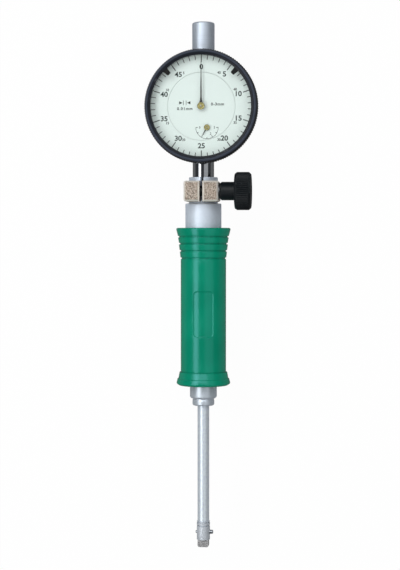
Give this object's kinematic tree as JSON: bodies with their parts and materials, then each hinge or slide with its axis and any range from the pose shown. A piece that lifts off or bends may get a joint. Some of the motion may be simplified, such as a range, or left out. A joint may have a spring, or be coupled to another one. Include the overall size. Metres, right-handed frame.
{
  "type": "dial bore gauge",
  "caption": "Small-bore dial gauge: knurled dial indicator clamped by its stem above a ringed grip, over a slim probe tube with a side contact and anvil.",
  "frame": {"origin": "centre of the back cover's outer face, behind the dial's centre", "axes": "+Z out of the dial, +Y along the gauge towards the spindle cap, +X towards the clamp knob's side"},
  "size_m": [0.042, 0.1968, 0.0252],
  "materials": {
    "case_metal": "satin",
    "black_bezel": "black anodised",
    "bright_chrome": "polished",
    "satin_steel": "satin",
    "blasted_steel": "blasted nickel",
    "dark_steel": "satin",
    "spring_steel": "drawn wire",
    "clear_crystal": "clear",
    "dial_face": "matt painted",
    "black_paint": "matt black",
    "brass_parts": "turned",
    "black_plastic": "satin black",
    "green_plastic": "satin"
  },
  "bodies": {
    "gauge_body": {"clamp_collar": "satin_steel", "clamp_band": "blasted_steel", "grip": "green_plastic", "grip_tube": "satin_steel", "lower_collar": "bright_chrome", "probe_tube": "bright_chrome", "measuring_head": "satin_steel", "anvil": "satin_steel", "end_block": "blasted_steel", "rod_guide": "brass_parts", "spring_seat": "brass_parts", "return_spring": "spring_steel"},
    "indicator": {"dial_case": "case_metal", "back_cover": "case_metal", "cover_screws": "dark_steel", "stem": "bright_chrome", "upper_bush": "bright_chrome", "spindle_cap": "bright_chrome", "retaining_ring": "dark_steel", "centre_dial": "dial_face", "movement_plate": "brass_parts", "rear_plate": "brass_parts", "plate_pillars": "brass_parts", "plate_screws": "dark_steel", "hairspring": "brass_parts", "spindle_spring": "spring_steel", "spring_post": "dark_steel"},
    "bezel": {"bezel": "black_bezel", "crystal": "clear_crystal", "dial_ring": "dial_face"},
    "marker_left": {"limit_marker_left": "black_paint"},
    "marker_right": {"limit_marker_right": "black_paint"},
    "pointer": {"main_pointer": "black_paint", "pointer_hub": "brass_parts", "centre_pinion": "dark_steel"},
    "counter": {"counter_pointer": "black_paint", "counter_hub": "brass_parts", "takeup_gear": "brass_parts", "takeup_arbor": "dark_steel"},
    "rack_wheel": {"main_gear": "brass_parts", "rack_pinion": "dark_steel"},
    "spindle": {"spindle": "satin_steel", "contact_tip": "satin_steel", "guide_pin": "dark_steel", "spring_pin": "dark_steel"},
    "rod": {"rod_head": "satin_steel", "push_rod": "satin_steel"},
    "contact": {"contact_pin": "satin_steel"},
    "knob_carrier": {"knob_washer": "satin_steel"},
    "knob": {"clamp_knob": "black_plastic", "clamp_screw": "dark_steel"}
  },
  "joints": [
    {"name": "indicator_swivel", "type": "hinge", "parent": "gauge_body", "child": "indicator", "pos_m": [0, -0.03, 0.007], "axis": [0, 1, 0], "continuous": true},
    {"name": "bezel_turn", "type": "hinge", "parent": "indicator", "child": "bezel", "pos_m": [0, 0, 0.016], "axis": [0, 0, 1], "continuous": true},
    {"name": "left_marker_turn", "type": "hinge", "parent": "bezel", "child": "marker_left", "pos_m": [0, 0, 0.0181], "axis": [0, 0, 1], "range_deg": [-78, 40]},
    {"name": "right_marker_turn", "type": "hinge", "parent": "bezel", "child": "marker_right", "pos_m": [0, 0, 0.0181], "axis": [0, 0, 1], "range_deg": [-40, 78]},
    {"name": "pointer_turn", "type": "hinge", "parent": "indicator", "child": "pointer", "pos_m": [0, 0, 0.013], "axis": [0, 0, 1], "range_deg": [-288.1, 0]},
    {"name": "counter_turn", "type": "hinge", "parent": "indicator", "child": "counter", "pos_m": [0.0021, -0.0078, 0.013], "axis": [0, 0, 1], "range_deg": [0, 24.01], "deforming": ["hairspring"]},
    {"name": "rack_wheel_turn", "type": "hinge", "parent": "indicator", "child": "rack_wheel", "pos_m": [-0.0021, 0.0078, 0.009], "axis": [0, 0, 1], "range_deg": [0, 24.01]},
    {"name": "spindle_slide", "type": "slide", "parent": "indicator", "child": "spindle", "axis": [0, 1, 0], "range_m": [0, 0.0004], "stiffness_N_per_m": 60, "springref_m": -0.002, "deforming": ["spindle_spring"]},
    {"name": "rod_slide", "type": "slide", "parent": "gauge_body", "child": "rod", "axis": [0, 1, 0], "range_m": [0, 0.0004], "stiffness_N_per_m": 40, "springref_m": -0.001, "deforming": ["return_spring"]},
    {"name": "contact_slide", "type": "slide", "parent": "gauge_body", "child": "contact", "axis": [1, 0, 0], "range_m": [0, 0.0004], "stiffness_N_per_m": 0.5, "springref_m": -0.001},
    {"name": "knob_travel", "type": "slide", "parent": "gauge_body", "child": "knob_carrier", "axis": [1, 0, 0], "range_m": [0, 0.0014]},
    {"name": "knob_turn", "type": "hinge", "parent": "knob_carrier", "child": "knob", "pos_m": [0.012, -0.0312, 0.015], "axis": [1, 0, 0], "range_deg": [0, 720.1]}
  ],
  "couplings": [
    {"joint": "contact_slide", "follows": "spindle_slide", "ratio": 1},
    {"joint": "rod_slide", "follows": "spindle_slide", "ratio": 1},
    {"joint": "rack_wheel_turn", "follows": "spindle_slide", "rad_per_m": 1047.2},
    {"joint": "pointer_turn", "follows": "spindle_slide", "rad_per_m": -12566},
    {"joint": "counter_turn", "follows": "spindle_slide", "rad_per_m": 1047.2},
    {"joint": "knob_turn", "follows": "knob_travel", "rad_per_m": 8976}
  ]
}
